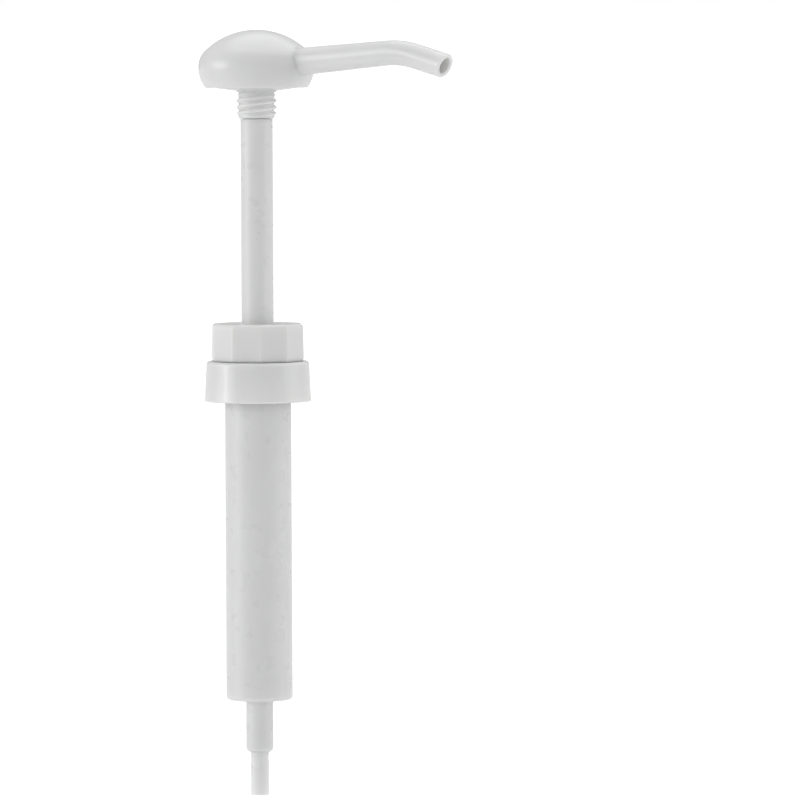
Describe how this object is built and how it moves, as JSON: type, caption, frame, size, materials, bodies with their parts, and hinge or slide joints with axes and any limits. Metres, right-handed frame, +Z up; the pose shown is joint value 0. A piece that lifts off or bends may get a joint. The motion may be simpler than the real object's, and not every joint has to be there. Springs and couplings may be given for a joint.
{
  "type": "condiment pump dispenser",
  "caption": "Hand pump with a palm head, bent spout, long stem, threaded closure and piston barrel, for dispensing sauce or syrup from a one-gallon jug.",
  "frame": {"origin": "on the pump's axis, in the plane where the neck gasket lands on the jug's rim", "axes": "+Z up along the pump's axis, +X along the spout"},
  "size_m": [0.1153, 0.0462, 0.3057],
  "materials": {
    "white_pp": "semi-gloss",
    "natural_hdpe": "satin",
    "tube_pe": "satin",
    "seal_soft": "matte",
    "gasket_foam": "matte",
    "stainless": "polished"
  },
  "bodies": {
    "housing": {"barrel": "natural_hdpe", "dip_tube": "tube_pe", "lock_collar": "white_pp", "neck_gasket": "gasket_foam", "stem_guide": "natural_hdpe", "stem_wiper": "seal_soft", "inlet_cage": "natural_hdpe", "return_spring": "stainless"},
    "closure": {"closure_cap": "white_pp"},
    "spring_seat": {"spring_seat": "white_pp"},
    "plunger": {"actuator_head": "white_pp", "head_base_plate": "white_pp", "passage_plug": "white_pp", "stem": "natural_hdpe", "piston_hub": "white_pp", "piston_seal": "seal_soft", "outlet_seat": "white_pp", "outlet_stop": "white_pp"},
    "inlet_ball": {"inlet_ball": "stainless"},
    "outlet_ball": {"outlet_ball": "stainless"}
  },
  "joints": [
    {"name": "pump_stroke", "type": "slide", "parent": "housing", "child": "spring_seat", "axis": [0, 0, -1], "range_m": [0, 0.08], "stiffness_N_per_m": 385, "springref_m": -0.026, "deforming": ["return_spring"]},
    {"name": "head_swivel", "type": "hinge", "parent": "spring_seat", "child": "plunger", "pos_m": [0, 0, 0], "axis": [0, 0, 1], "continuous": true},
    {"name": "closure_spin", "type": "hinge", "parent": "housing", "child": "closure", "pos_m": [0, 0, 0], "axis": [0, 0, 1], "continuous": true},
    {"name": "inlet_ball_lift", "type": "slide", "parent": "housing", "child": "inlet_ball", "axis": [0, 0, 1], "range_m": [0, 0.003]},
    {"name": "outlet_ball_lift", "type": "slide", "parent": "plunger", "child": "outlet_ball", "axis": [0, 0, 1], "range_m": [0, 0.0025]}
  ]
}
